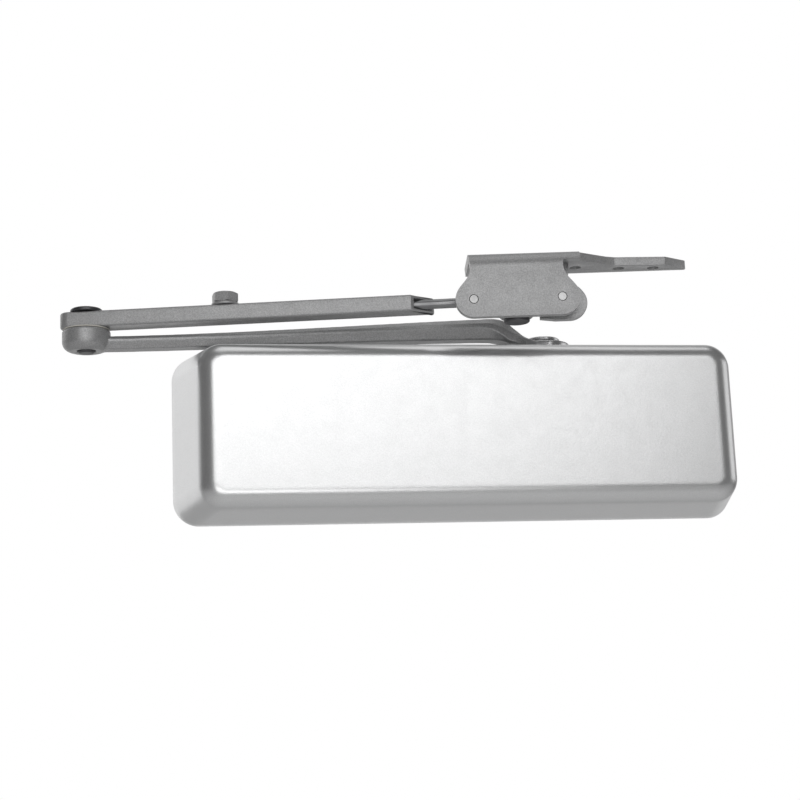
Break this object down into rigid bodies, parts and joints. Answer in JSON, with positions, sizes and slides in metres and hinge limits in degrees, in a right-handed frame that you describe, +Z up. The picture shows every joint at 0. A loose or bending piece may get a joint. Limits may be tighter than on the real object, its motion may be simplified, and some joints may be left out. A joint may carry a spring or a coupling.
{
  "type": "door closer",
  "caption": "Surface door closer: a silver box cover over a hydraulic body, with a folding main arm, adjustable forearm and a swivelling soffit bracket",
  "frame": {"origin": "middle of the flat rear face of the closer body, which is screwed to the door", "axes": "+X along the body with the arm's elbow at -X, +Y into the door so the cover's front faces -Y, +Z up"},
  "size_m": [0.3778, 0.0932, 0.1328],
  "materials": {
    "cover_paint": "satin silver powder coat with a fine metallic grain",
    "arm_paint": "grey metallic powder coat with a light orange-peel texture",
    "cast_iron": "dark painted casting, sand-cast grain",
    "steel": "ground bright steel",
    "spring_steel": "oil-tempered spring wire",
    "zinc": "zinc-plated steel",
    "rod_steel": "drawn steel rod, satin",
    "rivet_metal": "bright flush rivet face, lightly brushed",
    "dark_pin": "dark phosphated steel",
    "bronze": "turned bronze",
    "rubber": "matt nitrile rubber",
    "nylon": "natural nylon"
  },
  "bodies": {
    "closer_body": {"cover": "cover_paint", "body_casting": "cast_iron", "left_end_cap": "cast_iron", "right_end_cap": "cast_iron", "left_cap_seal": "rubber", "right_cap_seal": "rubber", "closing_spring": "spring_steel", "upper_bearing": "bronze", "lower_bearing": "bronze", "spindle_seal": "rubber", "gland_nut": "zinc", "lower_cap": "zinc", "left_cover_clip": "zinc", "left_clip_screw": "zinc", "right_cover_clip": "zinc", "right_clip_screw": "zinc"},
    "adjuster": {"spring_adjuster": "zinc"},
    "seat": {"spring_seat": "steel"},
    "piston_body": {"piston": "steel", "piston_ring": "nylon"},
    "sweep": {"sweep_valve": "bronze"},
    "latch": {"latch_valve": "bronze"},
    "backcheck": {"backcheck_valve": "bronze"},
    "arm": {"spindle": "steel", "main_arm": "arm_paint", "arm_lock_washer": "zinc", "arm_screw": "zinc", "elbow_pin": "dark_pin", "elbow_washer": "nylon"},
    "forearm": {"forearm_tube": "arm_paint", "elbow_bush": "bronze", "bolt_washer": "arm_paint"},
    "bolt": {"clamp_bolt": "arm_paint"},
    "rod": {"adjusting_rod": "rod_steel", "pivot_block": "arm_paint", "pivot_bush": "bronze"},
    "bracket": {"bracket_plate": "arm_paint", "stop_plate": "arm_paint", "left_rivet": "rivet_metal", "right_rivet": "rivet_metal", "stop_spacer": "zinc", "bumper_disc": "rubber", "swivel_pin": "dark_pin", "swivel_washer": "steel"}
  },
  "joints": [
    {"name": "main_arm_swing", "type": "hinge", "parent": "closer_body", "child": "arm", "pos_m": [0.046, -0.027, 0], "axis": [0, 0, 1], "range_deg": [0, 170], "stiffness_Nm_per_rad": 4, "springref_deg": -28.65},
    {"name": "elbow_fold", "type": "hinge", "parent": "arm", "child": "forearm", "pos_m": [-0.20498, -0.02393, 0], "axis": [0, 0, -1], "range_deg": [0, 150]},
    {"name": "rod_extension", "type": "slide", "parent": "forearm", "child": "rod", "axis": [0.9763, -0.2164, 0], "range_m": [-0.008, 0.02]},
    {"name": "bracket_swivel", "type": "hinge", "parent": "rod", "child": "bracket", "pos_m": [0.02064, -0.07395, 0], "axis": [0, 0, 1], "range_deg": [-10, 120]},
    {"name": "piston_slide", "type": "slide", "parent": "closer_body", "child": "piston_body", "axis": [-1, 0, 0], "range_m": [0, 0.0238], "deforming": ["closing_spring"]},
    {"name": "spring_adjuster_turn", "type": "hinge", "parent": "closer_body", "child": "adjuster", "pos_m": [-0.14, -0.027, 0], "axis": [1, 0, 0], "range_deg": [-360, 360]},
    {"name": "spring_seat_slide", "type": "slide", "parent": "closer_body", "child": "seat", "axis": [1, 0, 0], "range_m": [-0.00125, 0.00125], "deforming": ["closing_spring"]},
    {"name": "sweep_valve_turn", "type": "hinge", "parent": "closer_body", "child": "sweep", "pos_m": [0.068, -0.027, 0.026], "axis": [0, 0, 1], "range_deg": [-180, 180]},
    {"name": "latch_valve_turn", "type": "hinge", "parent": "closer_body", "child": "latch", "pos_m": [0.084, -0.027, 0.026], "axis": [0, 0, 1], "range_deg": [-180, 180]},
    {"name": "backcheck_valve_turn", "type": "hinge", "parent": "closer_body", "child": "backcheck", "pos_m": [0.02, -0.027, 0.026], "axis": [0, 0, 1], "range_deg": [-180, 180]},
    {"name": "clamp_bolt_turn", "type": "hinge", "parent": "forearm", "child": "bolt", "pos_m": [-0.13137, -0.04025, 0.07], "axis": [0, 0, 1], "range_deg": [0, 360]}
  ],
  "couplings": [
    {"joint": "piston_slide", "follows": "main_arm_swing", "m_per_rad": 0.008},
    {"joint": "spring_adjuster_turn", "follows": "spring_seat_slide", "rad_per_m": 5026.5}
  ]
}
